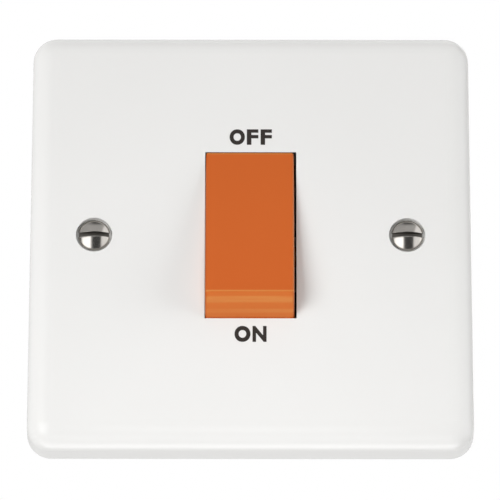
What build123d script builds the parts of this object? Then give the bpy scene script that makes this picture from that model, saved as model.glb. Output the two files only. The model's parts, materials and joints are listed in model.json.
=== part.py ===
from build123d import *
import os
from math import asin, cos, radians, sin, sqrt

# Single-gang double pole switch: a moulded wall plate with a rocker, and the two-pole mechanism behind it.
# Millimetres. X is to the right as seen from the front, Y runs into the wall, Z is up. The wall plane is
# y = 0, and the origin is the middle of the plate's rim. Everything stands in the OFF position, with the
# top of the rocker in.

os.makedirs("parts", exist_ok=True)

# Front plate
plate_size = 85.4
plate_corner_r = 4.8
plate_depth = 8.6  # how far the plate stands out from the wall
plate_edge_r = 4.5  # soft front edge
plate_draft = 1.0  # degrees, so that the tray leaves its mould
plate_face = 2.6  # thickness of the face
plate_rim = 2.6  # thickness of the rim
rib_thickness = 1.2
rib_setback = 1.6  # the ribs stop this far short of the wall plane
rib_pitch = 21.0

# Fixing screws of the plate, at the pitch of a single-gang box
fixing_pitch = 60.3
fixing_thread_r = 1.75
fixing_neck_r = 1.5  # plain shank under the head
fixing_head_r = 3.1
fixing_dome = 0.95  # height of the raised head
fixing_length = 30.0
fixing_slot_width = 0.9
fixing_slot_depth = 1.15
fixing_hole_r = 2.1
fixing_recess = 0.4  # from the plate's face to the rim of the head
fixing_bore_r = 3.5
fixing_bore = 1.3  # depth of the plain bore round the head, above its countersunk seat
fixing_boss_r = 4.8
fixing_boss_setback = 0.6

# Rocker: its end faces are arcs about the pivot, so the opening can close round them
rocker_width = 17.1
rocker_end_r = 20.65
rocker_face_height = 13.9  # from the pivot to the front face
rocker_pivot_depth = 11.7  # from the plate's front to the pivot
rocker_tilt = 8.0  # degrees to each side of the middle
rocker_wall = 1.8
rocker_skirt_height = 4.9  # from the pivot to the lower edge of the skirt
rocker_edge_r = 0.5
rocker_side_gap = 0.27
rocker_end_gap = 0.16
rocker_rest = 0.17  # how far the rocker lies to the left within its side gaps
rocker_rib = 1.2
rocker_rib_depth = 4.0
rocker_rib_at = 9.2
ear_r = 3.3  # round end of the side wall about the trunnion
trunnion_r = 2.0
trunnion_length = 2.0
running_clearance = 0.05

# Collar behind the plate that carries the trunnions
collar_side_wall = 2.0
collar_end_wall = 1.8
collar_length = 12.2  # from the back of the face

# Retainer that closes the trunnion slots and covers the terminals
retainer_thickness = 2.0
retainer_window = 12.4  # height of the window for the plungers
trunnion_play = 0.3
fit_clearance = 0.15

# Sprung plungers in the rocker, one for each pole
pole_x = 5.0
plunger_r = 2.0
plunger_nose_r = 1.6
plunger_nose_length = 3.0
plunger_head_height = 2.0  # from the pivot to the plunger's spring end
plunger_clearance = 0.08  # between the nose and the arm in mid travel
plunger_bore_top = 9.0  # from the pivot to the blind end of the bore
plunger_boss_r = 3.2
plunger_boss_drop = 5.5
spring_r = 1.5
spring_wire = 0.6
spring_turns = 5
spring_clearance = 0.05

# Moving contact arms
arm_depth = 14.0  # from the rocker's pivot to the front of the arm in mid travel
arm_tilt = 8.0
arm_thickness = 1.6
arm_width = 6.4
arm_waist = 5.0
arm_waist_length = 2.8
arm_upper = 13.2
arm_lower = 11.5
contact_at = 11.0  # from the arm's pivot to the contact tips
moving_tip_r = 2.0
moving_tip_rim = 0.6
moving_tip_dome = 0.4
contact_clearance = 0.05
fixed_tip_r = 2.2
fixed_tip_thickness = 1.0
stop_clearance = 0.15

# Brass strips: a fixed contact above and a pivot bracket below, folded up to the terminals
strip_thickness = 1.2
strip_width = 6.2
bracket_width = 4.6
strip_bend_r = 0.5
strip_start = 8.0  # height at which the fixed contact begins
riser_at = 14.0  # height of the fold's inner face
riser_height = 12.4
riser_outer = 14.2  # how far out from the middle the fold reaches
post_r = 0.7  # round bearing edge under the arm
post_ear = 0.65
post_ear_rise = 2.1

# Terminals for conductors up to 16 square millimetres
terminal_x = 10.6
terminal_width = 11.6
terminal_depth = 12.4
terminal_length = 9.4
terminal_bore_r = 3.4
terminal_bore_depth = 7.8
terminal_front_wall = 1.4
terminal_edge = 0.5
tenon_r = 2.0
tenon_head_r = 2.7
tenon_head = 0.5
tenon_gap = 0.05

# Terminal screws, shown backed out
terminal_screw_r = 2.5
terminal_screw_head_r = 3.4
terminal_screw_head = 2.4
terminal_screw_length = 8.6
terminal_screw_open = 0.5  # from the bore to the screw's end
terminal_slot_width = 1.2
terminal_slot_depth = 1.3
terminal_slot_turn = 24.0

# Rear base
base_wall = 1.8
base_floor = 2.0
base_corner_r = 2.0
base_bank_rise = 1.5  # the terminal banks stand out behind the middle
barrier_thickness = 1.8
chamber_wall = 1.5
chamber_clearance = 1.2  # from the arm to the chamber's side wall
well_clearance = 0.4
entry_r = 4.3
entry_funnel = 0.7  # the entries open out at the mouth
base_screw_x = 14.0
base_screw_r = 1.5
base_screw_head_r = 2.8
base_screw_head = 1.9
base_screw_length = 25.0
base_screw_recess = 2.4
base_tube_r = 3.6
pillar_r = 2.5

# Places that follow from these sizes
plate_front = -plate_depth
face_back = plate_front + plate_face
pivot_y = plate_front + rocker_pivot_depth
opening_width = rocker_width + 2 * rocker_side_gap
opening_r = rocker_end_r + rocker_end_gap
fixing_seat_r = fixing_head_r + fixing_recess - fixing_bore + fit_clearance
collar_x = opening_width / 2 + collar_side_wall
collar_z = opening_r + collar_end_wall
collar_end = face_back + collar_length
retainer_back = collar_end + retainer_thickness
arm_axis_y = pivot_y + arm_depth + arm_thickness
nose_centre = arm_depth - plunger_nose_r - plunger_clearance
dome_r = (moving_tip_r**2 + moving_tip_dome**2) / (2 * moving_tip_dome)
dome_offset = moving_tip_rim + moving_tip_dome - dome_r
closed_y = arm_axis_y + contact_at * sin(radians(arm_tilt)) + dome_offset * cos(radians(arm_tilt)) + dome_r
closed_z = contact_at * cos(radians(arm_tilt)) - dome_offset * sin(radians(arm_tilt))
fixed_tip_front = closed_y + contact_clearance
strip_front = fixed_tip_front + fixed_tip_thickness
floor_y = strip_front + strip_thickness
base_rear = floor_y + base_floor
bank_rear = base_rear + base_bank_rise
terminal_start = riser_at + strip_thickness
terminal_end = terminal_start + terminal_length
terminal_front = retainer_back + fit_clearance
terminal_rear = terminal_front + terminal_depth
bore_y = terminal_front + terminal_front_wall + terminal_bore_r
base_inner_x = terminal_x + terminal_width / 2 + fit_clearance
base_inner_z = terminal_end + fit_clearance
base_half_width = base_inner_x + base_wall
base_half_height = base_inner_z + base_wall
chamber_x = pole_x + arm_width / 2 + chamber_clearance
chamber_z = riser_at - tenon_head - fit_clearance
screw_z = terminal_end - terminal_bore_depth / 2
stop_y = arm_axis_y + arm_lower * sin(radians(arm_tilt)) + stop_clearance


def at(y):
    """The plane parallel to the wall at y: its x is to the right, its y is up and it faces the front."""
    return Plane.XZ.offset(-y)


# The rocker's own directions in the OFF position: along its length, and out of its face
rocker_up = Vector(0, sin(radians(rocker_tilt)), cos(radians(rocker_tilt)))
rocker_out = Vector(0, -cos(radians(rocker_tilt)), sin(radians(rocker_tilt)))
rocker_pivot = Vector(-rocker_rest, pivot_y, 0)
rocker_side = Plane(origin=rocker_pivot, x_dir=rocker_up, z_dir=(1, 0, 0))
rocker_back = Plane(origin=rocker_pivot, x_dir=(1, 0, 0), z_dir=-rocker_out)

# The arms' own directions in the OFF position, with the lower end back on its stop
arm_up = Vector(0, -sin(radians(arm_tilt)), cos(radians(arm_tilt)))
arm_back = Vector(0, cos(radians(arm_tilt)), sin(radians(arm_tilt)))
arm_pivot = Vector(0, arm_axis_y, 0)
arm_side = Plane(origin=arm_pivot, x_dir=arm_up, z_dir=(1, 0, 0))
arm_face = Plane(origin=arm_pivot - arm_back * arm_thickness, x_dir=(1, 0, 0), z_dir=-arm_back)

# Front plate: a shallow tray with its collar, bosses, pillars and ribs moulded in one piece
with BuildPart() as front_plate:
    with BuildSketch(at(0)):
        RectangleRounded(plate_size, plate_size, plate_corner_r)
    extrude(amount=plate_depth, taper=plate_draft)
    fillet(front_plate.faces().sort_by(Axis.Y)[0].edges(), radius=plate_edge_r)
    with BuildSketch(at(0)):
        RectangleRounded(
            plate_size - 2 * plate_rim, plate_size - 2 * plate_rim, max(plate_corner_r - plate_rim, 0.5)
        )
    extrude(amount=plate_depth - plate_face, mode=Mode.SUBTRACT)
    # Collar round the opening
    with BuildSketch(at(face_back)):
        Rectangle(2 * collar_x, 2 * collar_z)
    extrude(amount=-collar_length)
    # Bosses round the fixing holes
    with BuildSketch(at(face_back)):
        with GridLocations(fixing_pitch, 1, 2, 1):
            Circle(fixing_boss_r)
    extrude(amount=face_back + fixing_boss_setback)
    # Pillars that take the base's screws
    with BuildSketch(at(face_back)):
        with GridLocations(2 * base_screw_x, 1, 2, 1):
            Circle(pillar_r)
    extrude(amount=-collar_length)
    # Stiffening ribs from the mechanism's seat out to the rim
    with BuildSketch(at(face_back)):
        with GridLocations(1, rib_pitch, 1, 3):
            Rectangle(plate_size - plate_rim, rib_thickness)
        with GridLocations(rib_pitch, 1, 3, 1):
            Rectangle(rib_thickness, plate_size - plate_rim)
        Rectangle(
            2 * (base_half_width + fit_clearance), 2 * (base_half_height + fit_clearance), mode=Mode.SUBTRACT
        )
    extrude(amount=face_back + rib_setback)
    # Opening with straight sides and end walls concentric with the pivot
    with BuildSketch(Plane.YZ):
        with Locations((pivot_y, 0)):
            Circle(opening_r)
    extrude(amount=opening_width / 2, both=True, mode=Mode.SUBTRACT)
    # Slots in the collar's side walls, open to the back, for the trunnions
    with BuildSketch(Plane.YZ):
        with Locations((pivot_y, 0)):
            Circle(trunnion_r + running_clearance)
            Rectangle(
                collar_length,
                2 * (trunnion_r + running_clearance),
                align=(Align.MIN, Align.CENTER),
            )
    extrude(amount=collar_x, both=True, mode=Mode.SUBTRACT)
    # Fixing holes: a plain bore for the head's rim, then a countersunk seat
    with Locations(at(plate_front + fixing_bore)):
        with GridLocations(fixing_pitch, 1, 2, 1):
            CounterSinkHole(fixing_hole_r, fixing_seat_r, depth=plate_depth, counter_sink_angle=90)
    with BuildSketch(at(plate_front)):
        with GridLocations(fixing_pitch, 1, 2, 1):
            Circle(fixing_bore_r)
    extrude(amount=-fixing_bore, mode=Mode.SUBTRACT)
    # Blind pilot holes in the pillars
    with BuildSketch(at(collar_end)):
        with GridLocations(2 * base_screw_x, 1, 2, 1):
            Circle(base_screw_r + running_clearance)
    extrude(amount=collar_length - plate_face, mode=Mode.SUBTRACT)
front_plate.part.label = "front_plate"
export_step(front_plate.part, "parts/front_plate.step")

# Rocker: a hollow cap, its side walls drawn down to ears that carry the trunnions
crest = sqrt(rocker_end_r**2 - rocker_face_height**2)
skirt = sqrt(rocker_end_r**2 - rocker_skirt_height**2)
end_angle = (asin(rocker_face_height / rocker_end_r) + asin(rocker_skirt_height / rocker_end_r)) / 2
inner_r = rocker_end_r - rocker_wall
inner_top = rocker_face_height - rocker_wall
inner_crest = sqrt(inner_r**2 - inner_top**2)
inner_angle = asin(inner_top / inner_r) / 2
with BuildPart() as rocker:
    with BuildSketch(rocker_side):
        with BuildLine():
            Line((-skirt, rocker_skirt_height), (skirt, rocker_skirt_height))
            ThreePointArc(
                (skirt, rocker_skirt_height),
                (rocker_end_r * cos(end_angle), rocker_end_r * sin(end_angle)),
                (crest, rocker_face_height),
            )
            Line((crest, rocker_face_height), (-crest, rocker_face_height))
            ThreePointArc(
                (-crest, rocker_face_height),
                (-rocker_end_r * cos(end_angle), rocker_end_r * sin(end_angle)),
                (-skirt, rocker_skirt_height),
            )
        make_face()
    extrude(amount=rocker_width / 2, both=True)
    touch_face = rocker.faces().sort_by(Axis(rocker_pivot, rocker_out))[-1]
    fillet(touch_face.edges() + rocker.edges().filter_by(GeomType.CIRCLE), radius=rocker_edge_r)
    # Ears
    with BuildSketch(rocker_side):
        Circle(ear_r)
        Rectangle(2 * ear_r, rocker_skirt_height + rocker_wall, align=(Align.CENTER, Align.MIN))
    extrude(amount=rocker_width / 2, both=True)
    # Hollow inside
    with BuildSketch(rocker_side):
        with BuildLine():
            Line((-inner_r, 0), (-inner_r, -ear_r - rocker_wall))
            Line((-inner_r, -ear_r - rocker_wall), (inner_r, -ear_r - rocker_wall))
            Line((inner_r, -ear_r - rocker_wall), (inner_r, 0))
            ThreePointArc(
                (inner_r, 0),
                (inner_r * cos(inner_angle), inner_r * sin(inner_angle)),
                (inner_crest, inner_top),
            )
            Line((inner_crest, inner_top), (-inner_crest, inner_top))
            ThreePointArc(
                (-inner_crest, inner_top),
                (-inner_r * cos(inner_angle), inner_r * sin(inner_angle)),
                (-inner_r, 0),
            )
        make_face()
    extrude(amount=rocker_width / 2 - rocker_wall, both=True, mode=Mode.SUBTRACT)
    # Ribs across the inside of the face
    with BuildSketch(rocker_back.offset(-inner_top)):
        with GridLocations(1, 2 * rocker_rib_at, 1, 2):
            Rectangle(rocker_width - rocker_wall, rocker_rib)
        Rectangle(rocker_rib, 2 * rocker_rib_at)
    extrude(amount=rocker_rib_depth)
    # Bosses and blind bores for the plungers
    with BuildSketch(rocker_back.offset(-inner_top)):
        with GridLocations(2 * pole_x, 1, 2, 1):
            Circle(plunger_boss_r)
    extrude(amount=inner_top + plunger_boss_drop)
    with BuildSketch(rocker_back.offset(-plunger_bore_top)):
        with GridLocations(2 * pole_x, 1, 2, 1):
            Circle(plunger_r + running_clearance)
    extrude(amount=plunger_bore_top + plunger_boss_drop, mode=Mode.SUBTRACT)
    # Trunnions
    with BuildSketch(rocker_side.offset(rocker_width / 2)):
        Circle(trunnion_r)
    extrude(amount=trunnion_length)
    with BuildSketch(rocker_side.offset(-rocker_width / 2)):
        Circle(trunnion_r)
    extrude(amount=-trunnion_length)
rocker.part.label = "rocker"
export_step(rocker.part, "parts/rocker.step")

# Retainer: an insulating frame between the collar and the base
with BuildPart() as rocker_retainer:
    with BuildSketch(at(collar_end)):
        RectangleRounded(
            2 * (base_inner_x - fit_clearance), 2 * (base_inner_z - fit_clearance), base_corner_r
        )
        Rectangle(opening_width, retainer_window, mode=Mode.SUBTRACT)
        with GridLocations(2 * base_screw_x, 1, 2, 1):
            Circle(base_screw_r + fit_clearance, mode=Mode.SUBTRACT)
    extrude(amount=-retainer_thickness)
    # Tongues that reach into the collar's slots behind the trunnions
    with BuildSketch(at(collar_end)):
        with GridLocations(opening_width + collar_side_wall, 1, 2, 1):
            Rectangle(collar_side_wall - fit_clearance, 2 * (trunnion_r - fit_clearance))
    extrude(amount=collar_end - pivot_y - trunnion_r - trunnion_play)
rocker_retainer.part.label = "rocker_retainer"
export_step(rocker_retainer.part, "parts/rocker_retainer.step")

# Rear base: a box with an arcing chamber for each pole and a pocket for each terminal
with BuildPart() as switch_base:
    with BuildSketch(at(face_back)):
        RectangleRounded(2 * base_half_width, 2 * base_half_height, base_corner_r)
    extrude(amount=face_back - bank_rear)
    # Lower middle between the two terminal banks, with a rib left between the poles
    with BuildSketch(at(bank_rear)):
        Rectangle(2 * base_half_width, 2 * riser_at)
        Rectangle(barrier_thickness, 2 * riser_at, mode=Mode.SUBTRACT)
    extrude(amount=base_bank_rise, mode=Mode.SUBTRACT)
    # Cavity
    with BuildSketch(at(face_back)):
        Rectangle(2 * base_inner_x, 2 * base_inner_z)
    extrude(amount=face_back - floor_y, mode=Mode.SUBTRACT)
    # Shelves that the terminals stand on
    with BuildSketch(at(terminal_rear)):
        with GridLocations(1, terminal_start + base_inner_z, 1, 2):
            Rectangle(2 * base_inner_x, base_inner_z - terminal_start)
    extrude(amount=terminal_rear - floor_y)
    # Barrier between the poles, chamber walls, terminal guides and screw tubes
    with BuildSketch(at(retainer_back)):
        Rectangle(barrier_thickness, 2 * base_inner_z)
        with GridLocations(2 * chamber_x + chamber_wall, 1, 2, 1):
            Rectangle(chamber_wall, 2 * chamber_z)
        with GridLocations(
            2 * terminal_x - terminal_width - 2 * fit_clearance - chamber_wall,
            terminal_start + base_inner_z,
            2,
            2,
        ):
            Rectangle(chamber_wall, base_inner_z - terminal_start)
        with GridLocations(2 * base_screw_x, 1, 2, 1):
            Circle(base_tube_r)
        Rectangle(2 * base_inner_x, 2 * base_inner_z, mode=Mode.INTERSECT)
    extrude(amount=retainer_back - floor_y)
    # Ledges on which the lower ends of the arms rest
    with BuildSketch(at(stop_y)):
        with Locations((0, -contact_at)):
            Rectangle(2 * chamber_x, arm_waist_length)
            Rectangle(barrier_thickness, arm_waist_length, mode=Mode.SUBTRACT)
            with GridLocations(2 * pole_x, 1, 2, 1):
                Rectangle(bracket_width + 2 * fit_clearance, arm_waist_length, mode=Mode.SUBTRACT)
    extrude(amount=stop_y - floor_y)
    # Wells for the terminal screws
    with BuildSketch(at(bank_rear)):
        with GridLocations(2 * terminal_x, 2 * screw_z, 2, 2):
            Circle(terminal_screw_head_r + well_clearance)
    extrude(amount=bank_rear - terminal_rear, mode=Mode.SUBTRACT)
    # Conductor entries, above and below, opened out at the mouth
    with BuildSketch(Plane.XY.offset(base_half_height)):
        with Locations((-terminal_x, bore_y), (terminal_x, bore_y)):
            Circle(entry_r)
    extrude(amount=-base_wall, mode=Mode.SUBTRACT)
    with BuildSketch(Plane.XY.offset(-base_half_height)):
        with Locations((-terminal_x, bore_y), (terminal_x, bore_y)):
            Circle(entry_r)
    extrude(amount=base_wall, mode=Mode.SUBTRACT)
    mouths = switch_base.edges().filter_by(GeomType.CIRCLE).sort_by(Axis.Z)
    chamfer(mouths[:2] + mouths[-2:], length=entry_funnel)
    # Counterbored holes for the base's own screws
    with BuildSketch(at(base_rear)):
        with GridLocations(2 * base_screw_x, 1, 2, 1):
            Circle(base_screw_head_r + well_clearance)
    extrude(amount=base_screw_recess, mode=Mode.SUBTRACT)
    with BuildSketch(at(base_rear)):
        with GridLocations(2 * base_screw_x, 1, 2, 1):
            Circle(base_screw_r + fit_clearance)
    extrude(amount=base_rear - retainer_back, mode=Mode.SUBTRACT)
    chamfer(switch_base.faces().sort_by(Axis.Y)[-2:].edges().filter_by(GeomType.LINE), length=0.4)
switch_base.part.label = "switch_base"
export_step(switch_base.part, "parts/switch_base.step")

# Two raised countersunk screws that fix the plate to its box: plain neck in the plate, thread behind it
head_y = plate_front + fixing_recess
neck_y = head_y + fixing_head_r - fixing_neck_r
fixing_tip = head_y + fixing_length
fixing_dome_r = (fixing_head_r**2 + fixing_dome**2) / (2 * fixing_dome)
half_dome = asin(fixing_head_r / fixing_dome_r) / 2
with BuildPart() as fixing_screw:
    with BuildSketch(Plane.XY):
        with BuildLine():
            Polyline(
                (0, head_y - fixing_dome),
                (0, fixing_tip),
                (fixing_neck_r, fixing_tip),
                (fixing_thread_r, fixing_tip - fixing_thread_r + fixing_neck_r),
                (fixing_thread_r, -fit_clearance),
                (fixing_neck_r, -fit_clearance),
                (fixing_neck_r, neck_y),
                (fixing_head_r, head_y),
            )
            ThreePointArc(
                (fixing_head_r, head_y),
                (
                    fixing_dome_r * sin(half_dome),
                    head_y - fixing_dome + fixing_dome_r * (1 - cos(half_dome)),
                ),
                (0, head_y - fixing_dome),
            )
        make_face()
    revolve(axis=Axis.Y)
    with BuildSketch(at(head_y - fixing_dome)):
        Rectangle(2 * fixing_head_r, fixing_slot_width)
    extrude(amount=-fixing_slot_depth, mode=Mode.SUBTRACT)
with BuildPart() as fixing_screws:
    with GridLocations(fixing_pitch, 1, 2, 1):
        add(fixing_screw.part)
fixing_screws.part.label = "fixing_screws"
export_step(fixing_screws.part, "parts/fixing_screws.step")

# Two screws from the rear that draw the base, the retainer and the plate together
base_seat = base_rear - base_screw_recess
with BuildPart() as base_screw:
    with BuildSketch(at(base_seat)):
        Circle(base_screw_head_r)
    extrude(amount=-base_screw_head)
    chamfer(base_screw.faces().sort_by(Axis.Y)[-1].edges(), length=base_screw_head / 3)
    with BuildSketch(at(base_seat + base_screw_head)):
        Rectangle(2 * base_screw_head_r, fixing_slot_width, rotation=terminal_slot_turn)
    extrude(amount=base_screw_head / 2, mode=Mode.SUBTRACT)
    with BuildSketch(at(base_seat)):
        Circle(base_screw_r)
    extrude(amount=base_screw_length)
    chamfer(base_screw.faces().sort_by(Axis.Y)[0].edges(), length=base_screw_r / 2)
with BuildPart() as base_screws:
    with GridLocations(2 * base_screw_x, 1, 2, 1):
        add(base_screw.part)
base_screws.part.label = "base_screws"
export_step(base_screws.part, "parts/base_screws.step")

# Brass pillar terminals: a blind bore for the conductor, a tapped hole and a riveted tenon at the inner end
with BuildPart() as line_supply_terminal:
    with BuildSketch(Plane.XY.offset(terminal_start)):
        with Locations((-terminal_x, terminal_front)):
            Rectangle(terminal_width, terminal_depth, align=(Align.CENTER, Align.MIN))
    extrude(amount=terminal_length)
    chamfer(line_supply_terminal.edges().filter_by(Axis.Z), length=terminal_edge)
    with BuildSketch(Plane.XY.offset(terminal_end)):
        with Locations((-terminal_x, bore_y)):
            Circle(terminal_bore_r)
    extrude(amount=-terminal_bore_depth, mode=Mode.SUBTRACT)
    with BuildSketch(at(terminal_rear)):
        with Locations((-terminal_x, screw_z)):
            Circle(terminal_screw_r + running_clearance)
    extrude(amount=terminal_rear - bore_y, mode=Mode.SUBTRACT)
    # Tenon through the strip, peened over
    with BuildSketch(Plane.XY.offset(terminal_start)):
        with Locations((-terminal_x, bore_y)):
            Circle(tenon_r)
    extrude(amount=-strip_thickness)
    with BuildSketch(Plane.XY.offset(riser_at)):
        with Locations((-terminal_x, bore_y)):
            Circle(tenon_head_r)
    extrude(amount=-tenon_head)
line_supply_terminal.part.label = "line_supply_terminal"
export_step(line_supply_terminal.part, "parts/line_supply_terminal.step")

with BuildPart() as neutral_supply_terminal:
    mirror(line_supply_terminal.part, about=Plane.YZ)
neutral_supply_terminal.part.label = "neutral_supply_terminal"
export_step(neutral_supply_terminal.part, "parts/neutral_supply_terminal.step")

with BuildPart() as line_load_terminal:
    mirror(line_supply_terminal.part, about=Plane.XY)
line_load_terminal.part.label = "line_load_terminal"
export_step(line_load_terminal.part, "parts/line_load_terminal.step")

with BuildPart() as neutral_load_terminal:
    mirror(neutral_supply_terminal.part, about=Plane.XY)
neutral_load_terminal.part.label = "neutral_load_terminal"
export_step(neutral_load_terminal.part, "parts/neutral_load_terminal.step")

# Terminal screws, backed out so that the bores are open
screw_tip = bore_y + terminal_bore_r + terminal_screw_open
screw_seat = screw_tip + terminal_screw_length
with BuildPart() as line_supply_screw:
    with BuildSketch(at(screw_seat)):
        with Locations((-terminal_x, screw_z)):
            Circle(terminal_screw_head_r)
    extrude(amount=-terminal_screw_head)
    chamfer(line_supply_screw.faces().sort_by(Axis.Y)[-1].edges(), length=terminal_edge)
    with BuildSketch(at(screw_seat + terminal_screw_head)):
        with Locations((-terminal_x, screw_z)):
            Rectangle(2 * terminal_screw_head_r, terminal_slot_width, rotation=terminal_slot_turn)
    extrude(amount=terminal_slot_depth, mode=Mode.SUBTRACT)
    with BuildSketch(at(screw_seat)):
        with Locations((-terminal_x, screw_z)):
            Circle(terminal_screw_r)
    extrude(amount=terminal_screw_length)
    chamfer(line_supply_screw.faces().sort_by(Axis.Y)[0].edges(), length=terminal_edge)
line_supply_screw.part.label = "line_supply_screw"
export_step(line_supply_screw.part, "parts/line_supply_screw.step")

with BuildPart() as neutral_supply_screw:
    mirror(line_supply_screw.part, about=Plane.YZ)
neutral_supply_screw.part.label = "neutral_supply_screw"
export_step(neutral_supply_screw.part, "parts/neutral_supply_screw.step")

with BuildPart() as line_load_screw:
    mirror(line_supply_screw.part, about=Plane.XY)
line_load_screw.part.label = "line_load_screw"
export_step(line_load_screw.part, "parts/line_load_screw.step")

with BuildPart() as neutral_load_screw:
    mirror(neutral_supply_screw.part, about=Plane.XY)
neutral_load_screw.part.label = "neutral_load_screw"
export_step(neutral_load_screw.part, "parts/neutral_load_screw.step")

# Fixed contacts: a brass strip on the chamber's floor, folded up to the supply terminal
strip_inner = pole_x - strip_width / 2
with BuildPart() as line_fixed_contact:
    with BuildSketch(at(strip_front)):
        with Locations((-pole_x, strip_start)):
            Rectangle(strip_width, terminal_start - strip_start, align=(Align.CENTER, Align.MIN))
    extrude(amount=-strip_thickness)
    with BuildSketch(Plane.XY.offset(riser_at)):
        with Locations((-strip_inner, floor_y)):
            Rectangle(riser_outer - strip_inner, riser_height, align=(Align.MAX, Align.MAX))
        with Locations((-terminal_x, bore_y)):
            Circle(tenon_r + tenon_gap, mode=Mode.SUBTRACT)
    extrude(amount=strip_thickness)
    fold = line_fixed_contact.edges().filter_by(Axis.X).group_by(Axis.Y)[-1].sort_by(Axis.Z)[-1]
    fillet(fold, radius=strip_bend_r)
line_fixed_contact.part.label = "line_fixed_contact"
export_step(line_fixed_contact.part, "parts/line_fixed_contact.step")

with BuildPart() as neutral_fixed_contact:
    mirror(line_fixed_contact.part, about=Plane.YZ)
neutral_fixed_contact.part.label = "neutral_fixed_contact"
export_step(neutral_fixed_contact.part, "parts/neutral_fixed_contact.step")

# Silver tips on the fixed contacts
with BuildPart() as line_fixed_tip:
    with BuildSketch(at(fixed_tip_front)):
        with Locations((-pole_x, closed_z)):
            Circle(fixed_tip_r)
    extrude(amount=-fixed_tip_thickness)
    chamfer(line_fixed_tip.faces().sort_by(Axis.Y)[0].edges(), length=fixed_tip_thickness / 4)
line_fixed_tip.part.label = "line_fixed_tip"
export_step(line_fixed_tip.part, "parts/line_fixed_tip.step")

with BuildPart() as neutral_fixed_tip:
    mirror(line_fixed_tip.part, about=Plane.YZ)
neutral_fixed_tip.part.label = "neutral_fixed_tip"
export_step(neutral_fixed_tip.part, "parts/neutral_fixed_tip.step")

# Pivot brackets: a brass strip from the load terminal with a post that the arm rocks on
post_width = arm_waist + 2 * (fit_clearance + post_ear)
with BuildPart() as line_pivot_bracket:
    with BuildSketch(at(strip_front)):
        with Locations((-pole_x, -terminal_start)):
            Rectangle(bracket_width, terminal_start + post_r, align=(Align.CENTER, Align.MIN))
    extrude(amount=-strip_thickness)
    with BuildSketch(Plane.XY.offset(-riser_at)):
        with Locations((-strip_inner, floor_y)):
            Rectangle(riser_outer - strip_inner, riser_height, align=(Align.MAX, Align.MAX))
        with Locations((-terminal_x, bore_y)):
            Circle(tenon_r + tenon_gap, mode=Mode.SUBTRACT)
    extrude(amount=-strip_thickness)
    # Post with an ear at each side of the arm's waist
    with BuildSketch(Plane.XY):
        with Locations((-pole_x, floor_y)):
            Rectangle(post_width, floor_y - arm_axis_y + post_ear_rise, align=(Align.CENTER, Align.MAX))
        with Locations((-pole_x, arm_axis_y)):
            Rectangle(
                arm_waist + 2 * fit_clearance,
                post_ear_rise,
                align=(Align.CENTER, Align.MAX),
                mode=Mode.SUBTRACT,
            )
    extrude(amount=post_r, both=True)
    # Round bearing edge
    with BuildSketch(Plane.YZ.offset(-pole_x)):
        with Locations((arm_axis_y, 0)):
            Circle(post_r)
    extrude(amount=arm_waist / 2 + fit_clearance, both=True)
    fold = line_pivot_bracket.edges().filter_by(Axis.X).group_by(Axis.Y)[-1].sort_by(Axis.Z)[0]
    fillet(fold, radius=strip_bend_r)
line_pivot_bracket.part.label = "line_pivot_bracket"
export_step(line_pivot_bracket.part, "parts/line_pivot_bracket.step")

with BuildPart() as neutral_pivot_bracket:
    mirror(line_pivot_bracket.part, about=Plane.YZ)
neutral_pivot_bracket.part.label = "neutral_pivot_bracket"
export_step(neutral_pivot_bracket.part, "parts/neutral_pivot_bracket.step")

# Moving arms: flat copper bars that rock on the posts, waisted between the posts' ears
with BuildPart() as line_contact_arm:
    with BuildSketch(arm_face):
        with Locations((-pole_x, (arm_upper - arm_lower) / 2)):
            RectangleRounded(arm_width, arm_upper + arm_lower, arm_width / 4)
        with Locations((-pole_x, 0)):
            with GridLocations(arm_width + arm_waist, 1, 2, 1):
                Rectangle(arm_width, arm_waist_length, mode=Mode.SUBTRACT)
    extrude(amount=-arm_thickness)
    with BuildSketch(arm_side.offset(-pole_x)):
        Circle(post_r + running_clearance)
    extrude(amount=arm_width, both=True, mode=Mode.SUBTRACT)
line_contact_arm.part.label = "line_contact_arm"
export_step(line_contact_arm.part, "parts/line_contact_arm.step")

with BuildPart() as neutral_contact_arm:
    mirror(line_contact_arm.part, about=Plane.YZ)
neutral_contact_arm.part.label = "neutral_contact_arm"
export_step(neutral_contact_arm.part, "parts/neutral_contact_arm.step")

# Domed silver tips on the arms
tip_centre = arm_pivot + arm_up * contact_at - Vector(pole_x, 0, 0)
half_tip = asin(moving_tip_r / dome_r) / 2
with BuildPart() as line_moving_tip:
    with BuildSketch(Plane(origin=tip_centre, x_dir=(1, 0, 0), z_dir=Vector(1, 0, 0).cross(arm_back))):
        with BuildLine():
            Polyline(
                (0, moving_tip_rim + moving_tip_dome),
                (0, 0),
                (moving_tip_r, 0),
                (moving_tip_r, moving_tip_rim),
            )
            ThreePointArc(
                (moving_tip_r, moving_tip_rim),
                (dome_r * sin(half_tip), dome_offset + dome_r * cos(half_tip)),
                (0, moving_tip_rim + moving_tip_dome),
            )
        make_face()
    revolve(axis=Axis(tip_centre, arm_back))
line_moving_tip.part.label = "line_moving_tip"
export_step(line_moving_tip.part, "parts/line_moving_tip.step")

with BuildPart() as neutral_moving_tip:
    mirror(line_moving_tip.part, about=Plane.YZ)
neutral_moving_tip.part.label = "neutral_moving_tip"
export_step(neutral_moving_tip.part, "parts/neutral_moving_tip.step")

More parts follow.
